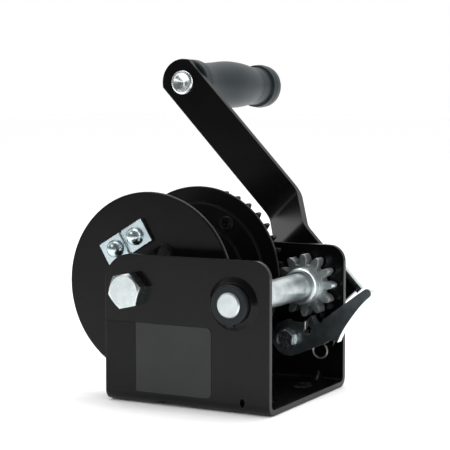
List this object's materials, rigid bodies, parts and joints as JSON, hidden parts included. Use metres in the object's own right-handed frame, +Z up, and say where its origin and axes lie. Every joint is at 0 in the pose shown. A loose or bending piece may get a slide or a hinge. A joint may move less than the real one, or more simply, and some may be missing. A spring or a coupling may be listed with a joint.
{
  "type": "boat trailer winch",
  "caption": "Hand-cranked boat trailer winch: a folded steel channel frame carries a geared cable drum, pinion shaft, ratchet pawl and cranked handle.",
  "frame": {"origin": "centre of the base's underside, midway between the side plates", "axes": "+X along the side plates towards the drive shaft, +Y from the front plate towards the crank, +Z up"},
  "size_m": [0.1687, 0.2643, 0.191],
  "materials": {
    "frame_paint": "gloss black powder coat",
    "drum_paint": "satin black powder coat",
    "gear_paint": "satin black powder coat",
    "crank_paint": "gloss black powder coat",
    "fastener_zinc": "bright zinc plate",
    "clamp_zinc": "bright zinc plate",
    "shaft_zinc": "turned and zinc plated",
    "pinion_zinc": "zinc plated sintered steel",
    "bracket_zinc": "bright zinc plate",
    "pin_zinc": "bright zinc plate",
    "pawl_zinc": "dull zinc plate",
    "spring_steel": "drawn wire",
    "bush_plastic": "filled nylon",
    "grip_plastic": "satin",
    "label_grey": "plain film",
    "label_dark": "plain film"
  },
  "bodies": {
    "frame": {"frame": "frame_paint", "front_shaft_bush": "bush_plastic", "rear_shaft_bush": "bush_plastic", "drum_bolt": "fastener_zinc", "drum_sleeve": "fastener_zinc", "drum_washer": "fastener_zinc", "drum_nut": "fastener_zinc", "pawl_bush": "fastener_zinc", "pawl_washer": "fastener_zinc", "pawl_bolt": "fastener_zinc", "pawl_nut": "fastener_zinc", "pawl_spring": "spring_steel", "label_panel": "label_grey", "label_strip": "label_dark"},
    "drum": {"drum_core": "drum_paint", "drum_bushes": "bush_plastic", "front_flange": "drum_paint", "rear_flange": "drum_paint", "drum_gear": "gear_paint", "gear_rivets": "drum_paint", "cable_clamp": "clamp_zinc", "clamp_bolts": "clamp_zinc", "clamp_nuts": "clamp_zinc"},
    "crank": {"drive_shaft": "shaft_zinc", "pinion": "pinion_zinc", "thrust_washer": "fastener_zinc", "crank_spacer": "fastener_zinc", "crank_arm": "crank_paint", "crank_bracket": "bracket_zinc", "crank_washer": "fastener_zinc", "crank_nut": "fastener_zinc", "grip_pin": "pin_zinc", "grip_washer": "fastener_zinc"},
    "grip": {"grip": "grip_plastic"},
    "pawl": {"pawl": "pawl_zinc"}
  },
  "joints": [
    {"name": "drum_spin", "type": "hinge", "parent": "frame", "child": "drum", "pos_m": [-0.0342, 0, 0.0622], "axis": [0, 1, 0], "continuous": true},
    {"name": "crank_spin", "type": "hinge", "parent": "frame", "child": "crank", "pos_m": [0.02919, 0, 0.0585], "axis": [0, 1, 0], "continuous": true},
    {"name": "grip_spin", "type": "hinge", "parent": "crank", "child": "grip", "pos_m": [-0.08232, 0.093, 0.17601], "axis": [0, 0.9998, -0.0175], "continuous": true},
    {"name": "pawl_pivot", "type": "hinge", "parent": "frame", "child": "pawl", "pos_m": [0.01929, 0.0385, 0.027], "axis": [0, 1, 0], "range_deg": [0, 32], "deforming": ["pawl_spring"]}
  ],
  "couplings": [
    {"joint": "crank_spin", "follows": "drum_spin", "ratio": -3.1667}
  ]
}
